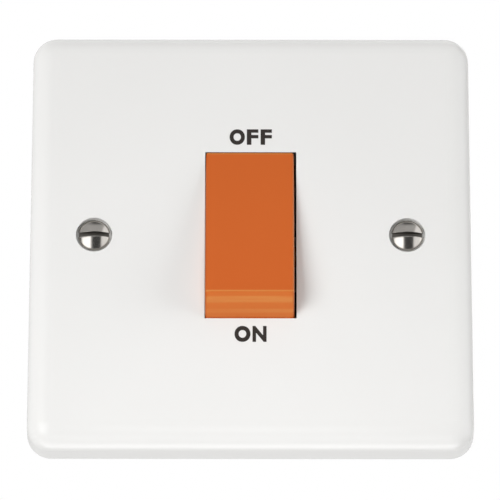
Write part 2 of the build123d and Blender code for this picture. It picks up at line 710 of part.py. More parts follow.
# Plungers: sprung pins in the rocker with a round nose that runs along the arm
nose_end = nose_centre + plunger_nose_r
with BuildPart() as line_plunger:
    with BuildSketch(rocker_back.offset(-plunger_head_height)):
        with Locations((-pole_x, 0)):
            Circle(plunger_r)
    extrude(amount=plunger_head_height + nose_end - plunger_nose_length)
    with BuildSketch(rocker_back.offset(nose_end - plunger_nose_length)):
        with Locations((-pole_x, 0)):
            Circle(plunger_nose_r)
    extrude(amount=plunger_nose_length)
    nose = line_plunger.faces().sort_by(Axis(rocker_pivot, rocker_out))[0]
    fillet(nose.edges(), radius=plunger_nose_r * 0.999)
line_plunger.part.label = "line_plunger"
export_step(line_plunger.part, "parts/line_plunger.step")

with BuildPart() as neutral_plunger:
    mirror(line_plunger.part, about=rocker_side)
neutral_plunger.part.label = "neutral_plunger"
export_step(neutral_plunger.part, "parts/neutral_plunger.step")

# Coil springs between the plungers and the blind ends of their bores, drawn with a square wire to stay light
spring_height = plunger_bore_top - plunger_head_height - spring_wire - 2 * spring_clearance
spring_base = rocker_pivot + rocker_out * (plunger_head_height + spring_wire / 2 + spring_clearance)
with BuildPart() as line_plunger_spring:
    with BuildLine() as line_coil:
        Helix(
            pitch=spring_height / spring_turns,
            height=spring_height,
            radius=spring_r,
            center=spring_base - Vector(pole_x, 0, 0),
            direction=rocker_out,
        )
    with BuildSketch(Plane(origin=line_coil.line @ 0, z_dir=line_coil.line % 0)):
        Rectangle(spring_wire, spring_wire)
    sweep(is_frenet=True)
line_plunger_spring.part.label = "line_plunger_spring"
export_step(line_plunger_spring.part, "parts/line_plunger_spring.step")

with BuildPart() as neutral_plunger_spring:
    with BuildLine() as neutral_coil:
        Helix(
            pitch=spring_height / spring_turns,
            height=spring_height,
            radius=spring_r,
            center=spring_base + Vector(pole_x, 0, 0),
            direction=rocker_out,
        )
    with BuildSketch(Plane(origin=neutral_coil.line @ 0, z_dir=neutral_coil.line % 0)):
        Rectangle(spring_wire, spring_wire)
    sweep(is_frenet=True)
neutral_plunger_spring.part.label = "neutral_plunger_spring"
export_step(neutral_plunger_spring.part, "parts/neutral_plunger_spring.step")
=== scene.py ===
import json
import math

import bpy
from mathutils import Matrix, Vector


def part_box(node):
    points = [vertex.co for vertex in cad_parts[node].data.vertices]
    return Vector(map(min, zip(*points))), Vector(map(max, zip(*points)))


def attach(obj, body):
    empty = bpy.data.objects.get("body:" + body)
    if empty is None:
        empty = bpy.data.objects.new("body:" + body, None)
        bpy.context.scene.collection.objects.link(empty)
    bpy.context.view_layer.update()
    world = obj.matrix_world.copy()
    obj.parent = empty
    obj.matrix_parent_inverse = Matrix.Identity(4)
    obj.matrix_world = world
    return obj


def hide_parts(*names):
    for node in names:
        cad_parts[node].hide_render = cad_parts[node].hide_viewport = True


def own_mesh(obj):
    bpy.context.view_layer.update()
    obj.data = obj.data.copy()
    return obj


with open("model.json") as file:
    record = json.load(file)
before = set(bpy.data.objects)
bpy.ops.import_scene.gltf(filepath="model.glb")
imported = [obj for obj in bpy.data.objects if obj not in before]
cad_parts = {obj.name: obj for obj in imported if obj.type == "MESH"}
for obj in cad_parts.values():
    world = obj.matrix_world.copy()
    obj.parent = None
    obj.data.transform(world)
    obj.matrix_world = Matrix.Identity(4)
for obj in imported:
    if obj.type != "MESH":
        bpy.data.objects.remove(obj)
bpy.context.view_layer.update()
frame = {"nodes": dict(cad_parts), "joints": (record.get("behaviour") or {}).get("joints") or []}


# FRONT PLATE
# A square tray with a soft front edge, pressed in glossy white moulding powder, with its ribs, bosses and
# the collar for the rocker in one piece behind the face. Two screws draw its rim against the wall.
mm = 0.001
drift_size = 25 * mm
skin_depth = 0.02 * mm
plastic_ior = 1.5
# The colour sockets of a Mix node, by number because each kind of value there has the same names
mix_first, mix_second, mix_result = 6, 7, 2


def moulded_plastic(name, colour, drift, roughness, skin, skin_size):
    """A moulded plastic whose colour and roughness drift slowly, with the fine skin that the mould leaves."""
    finish = bpy.data.materials.new(name)
    finish.use_nodes = True
    nodes = finish.node_tree.nodes
    links = finish.node_tree.links
    shader = nodes["Principled BSDF"]
    shader.inputs["IOR"].default_value = plastic_ior
    place = nodes.new("ShaderNodeTexCoord")

    clouds = nodes.new("ShaderNodeTexNoise")
    clouds.inputs["Scale"].default_value = 1 / drift_size
    clouds.inputs["Detail"].default_value = 2
    links.new(place.outputs["Object"], clouds.inputs["Vector"])
    tint = nodes.new("ShaderNodeMix")
    tint.data_type = "RGBA"
    tint.inputs[mix_first].default_value = colour
    tint.inputs[mix_second].default_value = drift
    links.new(clouds.outputs["Fac"], tint.inputs["Factor"])
    links.new(tint.outputs[mix_result], shader.inputs["Base Color"])

    sheen = nodes.new("ShaderNodeMapRange")
    sheen.inputs["To Min"].default_value = roughness[0]
    sheen.inputs["To Max"].default_value = roughness[1]
    links.new(clouds.outputs["Fac"], sheen.inputs["Value"])
    links.new(sheen.outputs["Result"], shader.inputs["Roughness"])

    pores = nodes.new("ShaderNodeTexNoise")
    pores.inputs["Scale"].default_value = 1 / skin_size
    pores.inputs["Detail"].default_value = 3
    links.new(place.outputs["Object"], pores.inputs["Vector"])
    relief = nodes.new("ShaderNodeBump")
    relief.inputs["Strength"].default_value = skin
    relief.inputs["Distance"].default_value = skin_depth
    links.new(pores.outputs["Fac"], relief.inputs["Height"])
    links.new(relief.outputs["Normal"], shader.inputs["Normal"])
    return finish


def wear(node, finish):
    """Gives a solid of the frame its finish."""
    mesh = frame["nodes"][node].data
    mesh.materials.clear()
    mesh.materials.append(finish)


plate_finish = moulded_plastic(
    "plate_white",
    colour=(0.84, 0.835, 0.822, 1.0),
    drift=(0.815, 0.81, 0.795, 1.0),
    roughness=(0.2, 0.26),
    skin=0.12,
    skin_size=1.4 * mm,
)
wear("front_plate", plate_finish)


# PRINTED WORDS
# OFF above the rocker and ON below it, printed in dark ink straight on the face and no thicker than a coat
# of paint. The capitals are broad and heavy, so each letter is drawn to its own width.
letter_height = 3.25 * mm
letter_weights = {"O": 0.06, "F": 0.038, "N": 0.044}
word_rise = 20.4 * mm
ink_coat = 0.03 * mm
ink_bite = 0.003 * mm
plate_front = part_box("front_plate")[0].y
ink_middle = plate_front + ink_bite - ink_coat / 2
raw_letter_depth = 0.01
# Where each letter starts and ends, from left to right
off_spans = ((-4.1 * mm, -1.15 * mm), (-0.76 * mm, 1.47 * mm), (1.92 * mm, 4.1 * mm))
on_spans = ((-3.06 * mm, -0.02 * mm), (0.38 * mm, 3.06 * mm))
ink = moulded_plastic(
    "word_ink",
    colour=(0.019, 0.014, 0.012, 1.0),
    drift=(0.03, 0.023, 0.019, 1.0),
    roughness=(0.4, 0.55),
    skin=0.2,
    skin_size=0.3 * mm,
)


def printed_word(word, spans, rise):
    """Prints a word from letters that each fill their own span."""
    letters = []
    for letter, (left, right) in zip(word, spans):
        bpy.ops.object.select_all(action="DESELECT")
        bpy.ops.object.text_add()
        bpy.context.object.data.body = letter
        bpy.context.object.data.offset = letter_weights[letter]
        bpy.context.object.data.extrude = raw_letter_depth
        bpy.ops.object.convert(target="MESH")
        shape = bpy.context.object
        bpy.ops.object.origin_set(type="ORIGIN_GEOMETRY", center="BOUNDS")
        shape.dimensions = (right - left, letter_height, ink_coat)
        shape.rotation_euler = (math.radians(90), 0, 0)
        shape.location = ((left + right) / 2, ink_middle, rise)
        bpy.ops.object.transform_apply(location=True, rotation=True, scale=True)
        letters.append(shape)
    for shape in letters:
        shape.select_set(True)
    bpy.ops.object.join()
    printed = bpy.context.object
    printed.name = "word_" + word.lower()
    printed.data.materials.append(ink)
    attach(printed, "housing")


printed_word("OFF", off_spans, word_rise)
printed_word("ON", on_spans, -word_rise)


# ROCKER
# A glossy orange cap that tips on two round trunnions in the plate's collar. Its ends are arcs about the
# trunnions, so the same thin gap stays round it in both positions. Painted shade darkens its sides and ends,
# a painted highlight runs along its crests, and streaks of painted reflection cross its ends.
joints = {joint["name"]: joint for joint in frame["joints"]}
rocker_pivot = Vector(joints["rocker_pivot"]["pos_m"])
rocker_tilt = math.radians(8)
rocker_half_width = 8.55 * mm
rocker_half_face = 15.27 * mm
# Painted shade: the colour of the cap's sides, darker than its face
rocker_painted_side_shade = (0.36, 0.062, 0.009, 1.0)
# Painted highlight: the pale line along the crests, where the face turns into the ends
rocker_painted_crest_highlight = (0.65, 0.21, 0.05, 1.0)
# Painted shade: the ends are a duller orange than the face
rocker_painted_end_shade = (0.575, 0.09, 0.0088, 1.0)
# Painted reflection: the paler streaks across the ends
rocker_painted_reflection = (0.605, 0.166, 0.036, 1.0)
# Where each zone starts and is full, from the middle of the cap outwards
side_shade_zone = (rocker_half_width - 0.4 * mm, rocker_half_width - 0.05 * mm)
crest_highlight_zone = (rocker_half_face - 0.3 * mm, rocker_half_face - 0.18 * mm)
end_shade_zone = (rocker_half_face + 0.02 * mm, rocker_half_face + 0.12 * mm)
reflection_streak_start = rocker_half_face + 0.1 * mm
reflection_streak_length = 3.0 * mm
# How strong the streaks of painted reflection are at each distance past their start
reflection_streak_bars = (
    (0.45 * mm, 0.15),
    (0.75 * mm, 1.0),
    (1.2 * mm, 1.0),
    (1.6 * mm, 0.1),
    (2.05 * mm, 0.1),
    (2.25 * mm, 0.6),
    (2.45 * mm, 0.6),
    (2.7 * mm, 0.1),
)
reflection_streaks_per_metre = (60, 800, 800)
reflection_grain_range = (0.35, 0.6)
reflection_grain_strength = (0.5, 1.1)
cap_shine = 0.9
cap_shine_tint = (1.0, 0.9, 0.35, 1.0)


def cap_painted_light(finish):
    """Paints shade on the cap's sides and ends, a highlight along its crests and faint streaks of reflection
    on its ends.
    """
    nodes = finish.node_tree.nodes
    links = finish.node_tree.links
    shader = nodes["Principled BSDF"]
    place = nodes.new("ShaderNodeTexCoord")

    def reach(middle, direction):
        """The distance from the middle along one direction, either way."""
        offset = nodes.new("ShaderNodeVectorMath")
        offset.operation = "SUBTRACT"
        offset.inputs[1].default_value = middle
        links.new(place.outputs["Object"], offset.inputs[0])
        along = nodes.new("ShaderNodeVectorMath")
        along.operation = "DOT_PRODUCT"
        along.inputs[1].default_value = direction
        links.new(offset.outputs["Vector"], along.inputs[0])
        either_way = nodes.new("ShaderNodeMath")
        either_way.operation = "ABSOLUTE"
        links.new(along.outputs["Value"], either_way.inputs[0])
        return either_way.outputs["Value"]

    def rise(source, zone, strength=(0.0, 1.0)):
        """Goes from the first strength to the second as the source crosses a zone."""
        ramp = nodes.new("ShaderNodeMapRange")
        ramp.inputs["From Min"].default_value = zone[0]
        ramp.inputs["From Max"].default_value = zone[1]
        ramp.inputs["To Min"].default_value = strength[0]
        ramp.inputs["To Max"].default_value = strength[1]
        links.new(source, ramp.inputs["Value"])
        return ramp.outputs["Result"]

    def blend(factor, first, second):
        """Mixes two colours, each a socket or a plain colour."""
        mix = nodes.new("ShaderNodeMix")
        mix.data_type = "RGBA"
        links.new(factor, mix.inputs["Factor"])
        for socket, colour in ((mix.inputs[mix_first], first), (mix.inputs[mix_second], second)):
            if isinstance(colour, tuple):
                socket.default_value = colour
            else:
                links.new(colour, socket)
        return mix.outputs[mix_result]

    lengthways = reach(rocker_pivot, (0, math.sin(rocker_tilt), math.cos(rocker_tilt)))
    sideways = reach(rocker_pivot, (1, 0, 0))

    # Streaks of painted reflection across the ends, broken up by a fine grain
    reflection_bars = nodes.new("ShaderNodeValToRGB")
    reflection_bars.color_ramp.interpolation = "EASE"
    while len(reflection_bars.color_ramp.elements) < len(reflection_streak_bars):
        reflection_bars.color_ramp.elements.new(1.0)
    for element, (distance, strength) in zip(reflection_bars.color_ramp.elements, reflection_streak_bars):
        element.position = distance / reflection_streak_length
        element.color = (strength, strength, strength, 1)
    links.new(rise(lengthways, (reflection_streak_start, reflection_streak_start + reflection_streak_length)), reflection_bars.inputs["Fac"])
    stretch = nodes.new("ShaderNodeMapping")
    stretch.inputs["Scale"].default_value = reflection_streaks_per_metre
    links.new(place.outputs["Object"], stretch.inputs["Vector"])
    reflection_grain = nodes.new("ShaderNodeTexNoise")
    reflection_grain.inputs["Scale"].default_value = 1
    reflection_grain.inputs["Detail"].default_value = 2
    links.new(stretch.outputs["Vector"], reflection_grain.inputs["Vector"])
    reflection_streaks = nodes.new("ShaderNodeMath")
    reflection_streaks.operation = "MULTIPLY"
    links.new(reflection_bars.outputs["Color"], reflection_streaks.inputs[0])
    links.new(rise(reflection_grain.outputs["Fac"], reflection_grain_range, reflection_grain_strength), reflection_streaks.inputs[1])

    face_colour = shader.inputs["Base Color"].links[0].from_socket
    end_shade_colour = blend(reflection_streaks.outputs["Value"], rocker_painted_end_shade, rocker_painted_reflection)
    # Painted light: a highlight along the crests, then shade with streaks of reflection on the ends, then
    # shade on the sides
    colour = blend(rise(lengthways, crest_highlight_zone), face_colour, rocker_painted_crest_highlight)
    colour = blend(rise(lengthways, end_shade_zone), colour, end_shade_colour)
    colour = blend(rise(sideways, side_shade_zone), colour, rocker_painted_side_shade)
    links.new(colour, shader.inputs["Base Color"])


cap_finish = moulded_plastic(
    "rocker_orange",
    colour=(0.6, 0.101, 0.0155, 1.0),
    drift=(0.625, 0.111, 0.0185, 1.0),
    roughness=(0.2, 0.26),
    skin=0.1,
    skin_size=1.2 * mm,
)
cap_painted_light(cap_finish)
cap_shader = cap_finish.node_tree.nodes["Principled BSDF"]
cap_shader.inputs["Specular IOR Level"].default_value = cap_shine
cap_shader.inputs["Specular Tint"].default_value = cap_shine_tint
wear("rocker", cap_finish)


# PLUNGERS AND SPRINGS
# A white nylon pin for each pole slides in a bore of the rocker. A coil of round spring wire, deeper in the
# bore, presses the pin's nose along the contact arm, so that the arm snaps over.
pole_x = 5.0 * mm
spring_r = 1.5 * mm
wire_r = 0.3 * mm
wire_sides = 10
# How far in front of the trunnions' axis the spring starts and ends
spring_start = 2.35 * mm
spring_end = 8.65 * mm
spring_length = spring_end - spring_start
spring_turns = 5
turn_steps = 28
tarnish_per_metre = 350
drawn_lines_per_metre = (900, 9000, 9000)
drawn_line_depth = 0.01 * mm
nylon = moulded_plastic(
    "plunger_nylon",
    colour=(0.8, 0.79, 0.75, 1.0),
    drift=(0.74, 0.73, 0.69, 1.0),
    roughness=(0.35, 0.5),
    skin=0.2,
    skin_size=0.5 * mm,
)


def plated_metal(name, colour, tarnish, roughness, brushing):
    """A bare or plated metal with clouds of tarnish, a polish that varies and fine lines drawn along X."""
    finish = bpy.data.materials.new(name)
    finish.use_nodes = True
    nodes = finish.node_tree.nodes
    links = finish.node_tree.links
    shader = nodes["Principled BSDF"]
    shader.inputs["Metallic"].default_value = 1.0
    place = nodes.new("ShaderNodeTexCoord")

    clouds = nodes.new("ShaderNodeTexNoise")
    clouds.inputs["Scale"].default_value = tarnish_per_metre
    clouds.inputs["Detail"].default_value = 6
    links.new(place.outputs["Object"], clouds.inputs["Vector"])
    tint = nodes.new("ShaderNodeMix")
    tint.data_type = "RGBA"
    tint.inputs[mix_first].default_value = colour
    tint.inputs[mix_second].default_value = tarnish
    links.new(clouds.outputs["Fac"], tint.inputs["Factor"])
    links.new(tint.outputs[mix_result], shader.inputs["Base Color"])

    sheen = nodes.new("ShaderNodeMapRange")
    sheen.inputs["To Min"].default_value = roughness[0]
    sheen.inputs["To Max"].default_value = roughness[1]
    links.new(clouds.outputs["Fac"], sheen.inputs["Value"])
    links.new(sheen.outputs["Result"], shader.inputs["Roughness"])

    drawn = nodes.new("ShaderNodeMapping")
    drawn.inputs["Scale"].default_value = drawn_lines_per_metre
    links.new(place.outputs["Object"], drawn.inputs["Vector"])
    lines = nodes.new("ShaderNodeTexNoise")
    lines.inputs["Scale"].default_value = 1
    lines.inputs["Detail"].default_value = 2
    links.new(drawn.outputs["Vector"], lines.inputs["Vector"])
    relief = nodes.new("ShaderNodeBump")
    relief.inputs["Strength"].default_value = brushing
    relief.inputs["Distance"].default_value = drawn_line_depth
    links.new(lines.outputs["Fac"], relief.inputs["Height"])
    links.new(relief.outputs["Normal"], shader.inputs["Normal"])
    return finish


spring_wire = plated_metal(
    "spring_wire",
    colour=(0.5, 0.5, 0.5, 1.0),
    tarnish=(0.38, 0.37, 0.36, 1.0),
    roughness=(0.29, 0.42),
    brushing=0.3,
)


def wound_spring(name):
    """A helix on the Z axis, swept from one ring of wire, its two ends closed."""
    bpy.ops.object.select_all(action="DESELECT")
    bpy.ops.mesh.primitive_circle_add(
        vertices=wire_sides, radius=wire_r, location=(spring_r, 0, 0), rotation=(math.radians(90), 0, 0)
    )
    coil = bpy.context.object
    coil.name = name
    bpy.ops.object.transform_apply(location=True, rotation=True, scale=True)
    winding = coil.modifiers.new("winding", "SCREW")
    winding.axis = "Z"
    winding.steps = turn_steps
    winding.render_steps = turn_steps
    winding.iterations = spring_turns
    winding.screw_offset = spring_length / spring_turns
    bpy.ops.object.modifier_apply(modifier="winding")
    bpy.ops.object.mode_set(mode="EDIT")
    bpy.ops.mesh.select_all(action="SELECT")
    bpy.ops.mesh.fill_holes(sides=wire_sides)
    bpy.ops.mesh.select_all(action="SELECT")
    bpy.ops.mesh.normals_make_consistent(inside=False)
    bpy.ops.object.mode_set(mode="OBJECT")
    coil.data.materials.append(spring_wire)
    return coil


def copied(piece, name):
    """A copy of a piece that isn't in its place yet, with a mesh of its own."""
    copy = piece.copy()
    copy.data = piece.data.copy()
    copy.name = name
    bpy.context.scene.collection.objects.link(copy)
    return copy


def set_piece(piece, turn, place, smooth_angle):
    """Turns a finished piece, sets it in its place and smooths it up to an angle."""
    bpy.ops.object.select_all(action="DESELECT")
    piece.select_set(True)
    bpy.context.view_layer.objects.active = piece
    piece.rotation_euler = turn
    piece.location = place
    bpy.ops.object.transform_apply(location=True, rotation=True, scale=True)
    bpy.ops.object.shade_smooth_by_angle(angle=math.radians(smooth_angle))


line_coil = wound_spring("line_coil_spring")
neutral_coil = copied(line_coil, "neutral_coil_spring")
for pole, coil, x in (("line", line_coil, -pole_x), ("neutral", neutral_coil, pole_x)):
    wear(pole + "_plunger", nylon)
    slide = joints[pole + "_plunger_slide"]
    outward = Vector(slide["axis"])
    along_bore = outward.to_track_quat("Z", "X").to_euler()
    bore = rocker_pivot + Vector((x, 0, 0))
    set_piece(coil, along_bore, bore + outward * spring_start, smooth_angle=50)
    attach(coil, "rocker")
    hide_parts(pole + "_plunger_spring")
    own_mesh(coil)


# RETAINER
# A dark insulating frame stamped from board, laid over the collar. Two tongues close the slots behind the
# rocker's trunnions, and a window lets the plungers through.
insulation = moulded_plastic(
    "retainer_board",
    colour=(0.05, 0.047, 0.045, 1.0),
    drift=(0.075, 0.07, 0.066, 1.0),
    roughness=(0.5, 0.65),
    skin=0.5,
    skin_size=0.35 * mm,
)
wear("rocker_retainer", insulation)


# REAR BASE
# A matt off-white box moulded with an arcing chamber for each pole, a pocket and a well for each terminal,
# and funnel mouths for the conductors above and below.
base_moulding = moulded_plastic(
    "base_moulding",
    colour=(0.74, 0.72, 0.68, 1.0),
    drift=(0.68, 0.66, 0.62, 1.0),
    roughness=(0.45, 0.6),
    skin=0.35,
    skin_size=0.4 * mm,
)
wear("switch_base", base_moulding)


# TERMINALS AND CONTACT STRIPS
# Sawn and drilled brass pillars, each riveted through a folded brass strip. The strips above carry the fixed
# silver tips, and the strips below end in the posts that the copper arms rock on.
drawn_brass = plated_metal(
    "drawn_brass",
    colour=(0.78, 0.57, 0.27, 1.0),
    tarnish=(0.6, 0.41, 0.17, 1.0),
    roughness=(0.29, 0.42),
    brushing=0.35,
)
arm_copper = plated_metal(
    "arm_copper",
    colour=(0.78, 0.42, 0.29, 1.0),
    tarnish=(0.58, 0.27, 0.17, 1.0),
    roughness=(0.29, 0.42),
    brushing=0.35,
)
tip_silver = plated_metal(
    "tip_silver",
    colour=(0.82, 0.81, 0.78, 1.0),
    tarnish=(0.66, 0.64, 0.59, 1.0),
    roughness=(0.3, 0.45),
    brushing=0.25,
)
for pole in ("line", "neutral"):
    for end in ("supply", "load"):
        wear(f"{pole}_{end}_terminal", drawn_brass)
    wear(pole + "_fixed_contact", drawn_brass)
    wear(pole + "_pivot_bracket", drawn_brass)
    wear(pole + "_contact_arm", arm_copper)
    wear(pole + "_fixed_tip", tip_silver)
    wear(pole + "_moving_tip", tip_silver)


# TERMINAL SCREWS
# Zinc-plated steel cheese-head screws with a rolled thread, one down each well. They stand backed out, so
# the conductor bores are open.
terminal_head_r = 3.4 * mm
terminal_head = 2.4 * mm
terminal_thread_r = 2.5 * mm
terminal_root_r = 2.05 * mm
terminal_pitch = 0.8 * mm
terminal_shank = 8.6 * mm
terminal_slot = 1.2 * mm
terminal_slot_depth = 1.3 * mm
terminal_tip = 0.5 * mm
screw_sides = 48
screw_smooth_angle = 32
slot_cutter_length = 40 * mm
thread_steps = 36
thread_run_out = 0.2 * mm
run_out_slope = 0.1 * mm
# A thread's ridge: how far its foot sinks into the shank, and its width at the foot and at the crest
ridge_foot_depth = 0.04 * mm
ridge_foot_share = 0.86
ridge_crest_share = 0.16
bright_zinc = plated_metal(
    "bright_zinc",
    colour=(0.66, 0.67, 0.69, 1.0),
    tarnish=(0.5, 0.5, 0.49, 1.0),
    roughness=(0.29, 0.4),
    brushing=0.25,
)
# A rougher finish for inside the milled slots, its colour darkened as painted shade
slot_painted_shade = plated_metal(
    "slot_painted_shade",
    colour=(0.28, 0.265, 0.24, 1.0),
    tarnish=(0.18, 0.17, 0.155, 1.0),
    roughness=(0.4, 0.55),
    brushing=0.5,
)


def turned(name, outline, finish):
    """A piece turned about Z: a filled ring at the outline's first point, drawn up through the others."""
    bpy.ops.object.select_all(action="DESELECT")
    bpy.ops.mesh.primitive_circle_add(
        vertices=screw_sides, radius=outline[0][0], fill_type="NGON", location=(0, 0, outline[0][1])
    )
    piece = bpy.context.object
    piece.name = name
    piece.data.materials.append(finish)
    bpy.ops.object.transform_apply(location=True, rotation=True, scale=True)
    bpy.ops.object.mode_set(mode="EDIT")
    bpy.ops.mesh.select_all(action="SELECT")
    for (radius, height), (next_radius, next_height) in zip(outline, outline[1:]):
        bpy.ops.mesh.extrude_region_move(TRANSFORM_OT_translate={"value": (0, 0, next_height - height)})
        bpy.ops.transform.resize(value=(next_radius / radius, next_radius / radius, 1))
    bpy.ops.mesh.select_all(action="SELECT")
    bpy.ops.mesh.normals_make_consistent(inside=False)
    bpy.ops.object.mode_set(mode="OBJECT")
    return piece


def slotted(piece, top, width, depth, turn, edge):
    """Mills a screwdriver slot across a head's top, rougher and with painted shade inside, and breaks sharp
    edges.
    """
    bpy.ops.object.select_all(action="DESELECT")
    bpy.ops.mesh.primitive_cube_add(size=1, location=(0, 0, top), rotation=(0, 0, math.radians(turn)))
    cutter = bpy.context.object
    cutter.dimensions = (slot_cutter_length, width, 2 * depth)
    cutter.data.materials.append(slot_painted_shade)
    bpy.ops.object.transform_apply(location=True, rotation=True, scale=True)
    bpy.ops.object.select_all(action="DESELECT")
    piece.select_set(True)
    bpy.context.view_layer.objects.active = piece
    milling = piece.modifiers.new("milling", "BOOLEAN")
    milling.operation = "DIFFERENCE"
    milling.object = cutter
    milling.material_mode = "TRANSFER"
    bpy.ops.object.modifier_apply(modifier="milling")
    bpy.data.objects.remove(cutter)
    breaking = piece.modifiers.new("breaking", "BEVEL")
    breaking.width = edge
    breaking.segments = 2
    breaking.limit_method = "ANGLE"
    breaking.angle_limit = math.radians(35)
    bpy.ops.object.modifier_apply(modifier="breaking")


def rolled_thread(piece, root, crest, pitch, low, high):
    """Winds a ridge round the shank from low to high, closes its ends and joins it to the screw."""
    bpy.ops.object.select_all(action="DESELECT")
    bpy.ops.mesh.primitive_plane_add(size=1, rotation=(math.radians(90), 0, 0))
    ridge = bpy.context.object
    ridge.dimensions = (crest - root + ridge_foot_depth, ridge_foot_share * pitch, 0)
    bpy.ops.object.transform_apply(location=True, rotation=True, scale=True)
    bpy.ops.object.mode_set(mode="EDIT")
    bpy.ops.mesh.select_all(action="SELECT")
    ridge_middle = (crest + root) / 2
    bpy.ops.transform.translate(value=(ridge_middle - ridge_foot_depth / 2, 0, low + pitch / 2))
    bpy.ops.object.mode_set(mode="OBJECT")
    for corner in ridge.data.vertices:
        corner.select = corner.co.x > ridge_middle
    ridge.data.update()
    bpy.ops.object.mode_set(mode="EDIT")
    bpy.ops.mesh.select_mode(type="VERT")
    bpy.ops.transform.resize(value=(1, 1, ridge_crest_share))
    bpy.ops.mesh.select_all(action="SELECT")
    bpy.ops.mesh.delete(type="ONLY_FACE")
    bpy.ops.object.mode_set(mode="OBJECT")
    winding = ridge.modifiers.new("winding", "SCREW")
    winding.axis = "Z"
    winding.steps = thread_steps
    winding.render_steps = thread_steps
    winding.iterations = int((high - low) / pitch) - 1
    winding.screw_offset = pitch
    bpy.ops.object.modifier_apply(modifier="winding")
    bpy.ops.object.mode_set(mode="EDIT")
    bpy.ops.mesh.select_all(action="SELECT")
    bpy.ops.mesh.fill_holes(sides=4)
    bpy.ops.mesh.select_all(action="SELECT")
    bpy.ops.mesh.normals_make_consistent(inside=False)
    bpy.ops.object.mode_set(mode="OBJECT")
    bpy.ops.object.select_all(action="DESELECT")
    ridge.select_set(True)
    piece.select_set(True)
    bpy.context.view_layer.objects.active = piece
    bpy.ops.object.join()


# From the tip up, with the head's seat at 0
terminal_outline = (
    (0.7 * terminal_root_r, -terminal_shank),
    (terminal_root_r, -terminal_shank + terminal_tip),
    (terminal_root_r, -thread_run_out - run_out_slope),
    (terminal_thread_r, -thread_run_out),
    (terminal_thread_r, 0),
    (terminal_head_r, 0),
    (terminal_head_r, terminal_head - 0.45 * mm),
    (terminal_head_r - 0.15 * mm, terminal_head - 0.15 * mm),
    (terminal_head_r - 0.5 * mm, terminal_head),
)
terminal_thread_low = -terminal_shank + 0.4 * mm
facing_rear = (math.radians(-90), 0, 0)
# The driver left the slots of each pair at one angle
terminal_pairs = (
    (24, "line_supply_screw", "neutral_load_screw"),
    (-24, "line_load_screw", "neutral_supply_screw"),
)
for turn, node, other_node in terminal_pairs:
    clamp = turned(node + "_threaded", terminal_outline, bright_zinc)
    slotted(clamp, terminal_head, terminal_slot, terminal_slot_depth, turn, edge=0.06 * mm)
    rolled_thread(
        clamp, terminal_root_r, terminal_thread_r, terminal_pitch, terminal_thread_low, -thread_run_out
    )
    other_clamp = copied(clamp, other_node + "_threaded")
    for screw, body in ((clamp, node), (other_clamp, other_node)):
        low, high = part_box(body)
        seat = Vector(((low.x + high.x) / 2, high.y - terminal_head, (low.z + high.z) / 2))
        set_piece(screw, facing_rear, seat, screw_smooth_angle)
        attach(screw, body)
        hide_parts(body)


# BASE SCREWS
# Two zinc-plated pan-head screws, sunk in the rear of the base, that draw the base and the retainer to the
# pillars behind the plate.
base_low, base_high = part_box("base_screws")
base_head_r = 2.8 * mm
base_head = 1.9 * mm
base_thread_r = 1.5 * mm
base_root_r = 1.15 * mm
base_pitch = 0.5 * mm
base_shank = base_high.y - base_low.y - base_head
base_slot = 0.9 * mm
base_slot_depth = 0.95 * mm
base_slot_turn = 24
base_tip = 0.75 * mm
base_left_x = base_low.x + base_head_r
base_right_x = base_high.x - base_head_r
base_outline = (
    (0.5 * base_root_r, -base_shank),
    (base_root_r, -base_shank + base_tip),
    (base_root_r, -thread_run_out - run_out_slope),
    (base_thread_r, -thread_run_out),
    (base_thread_r, 0),
    (base_head_r, 0),
    (base_head_r, 0.75 * mm),
    (0.96 * base_head_r, 1.15 * mm),
    (0.86 * base_head_r, 1.5 * mm),
    (0.7 * base_head_r, 1.76 * mm),
    (0.5 * base_head_r, base_head),
)
base_thread_low = -base_shank + 0.7 * mm
left_holder = turned("base_screw_left", base_outline, bright_zinc)
slotted(left_holder, base_head, base_slot, base_slot_depth, base_slot_turn, edge=0.05 * mm)
rolled_thread(left_holder, base_root_r, base_thread_r, base_pitch, base_thread_low, -thread_run_out)
right_holder = copied(left_holder, "base_screw_right")
for holder, x in ((left_holder, base_left_x), (right_holder, base_right_x)):
    set_piece(holder, facing_rear, Vector((x, base_high.y - base_head, 0)), screw_smooth_angle)
    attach(holder, "housing")
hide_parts("base_screws")


# FIXING SCREWS
# Two nickel-plated raised countersunk screws, slotted, that stand a little proud of the plate. The neck is
# plain inside the plate, and the thread runs on behind it into the lugs of the wall box.
fixing_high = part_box("fixing_screws")[1]
fixing_head_r = 3.1 * mm
fixing_dome = 0.95 * mm
fixing_neck_r = 1.5 * mm
fixing_thread_r = 1.75 * mm
fixing_root_r = 1.38 * mm
fixing_pitch = 0.6 * mm
fixing_length = 30.0 * mm
fixing_slot = 0.9 * mm
fixing_slot_depth = 1.15 * mm
fixing_tip = 0.4 * mm
fixing_x = fixing_high.x - math.sqrt(fixing_head_r**2 - (fixing_slot / 2) ** 2)
fixing_y = fixing_high.y - fixing_length
# The plate's rear rim is at y = 0, so on the screw it is as far behind the head as the head is in front of it
neck_end = fixing_y
dome_r = (fixing_head_r**2 + fixing_dome**2) / (2 * fixing_dome)
dome_half = math.asin(fixing_head_r / dome_r)
dome_rings = 10
painted_shade_rim = 0.3 * mm
nickel = plated_metal(
    "nickel_plate",
    colour=(0.75, 0.715, 0.67, 1.0),
    tarnish=(0.62, 0.59, 0.55, 1.0),
    roughness=(0.1, 0.22),
    brushing=0.12,
)
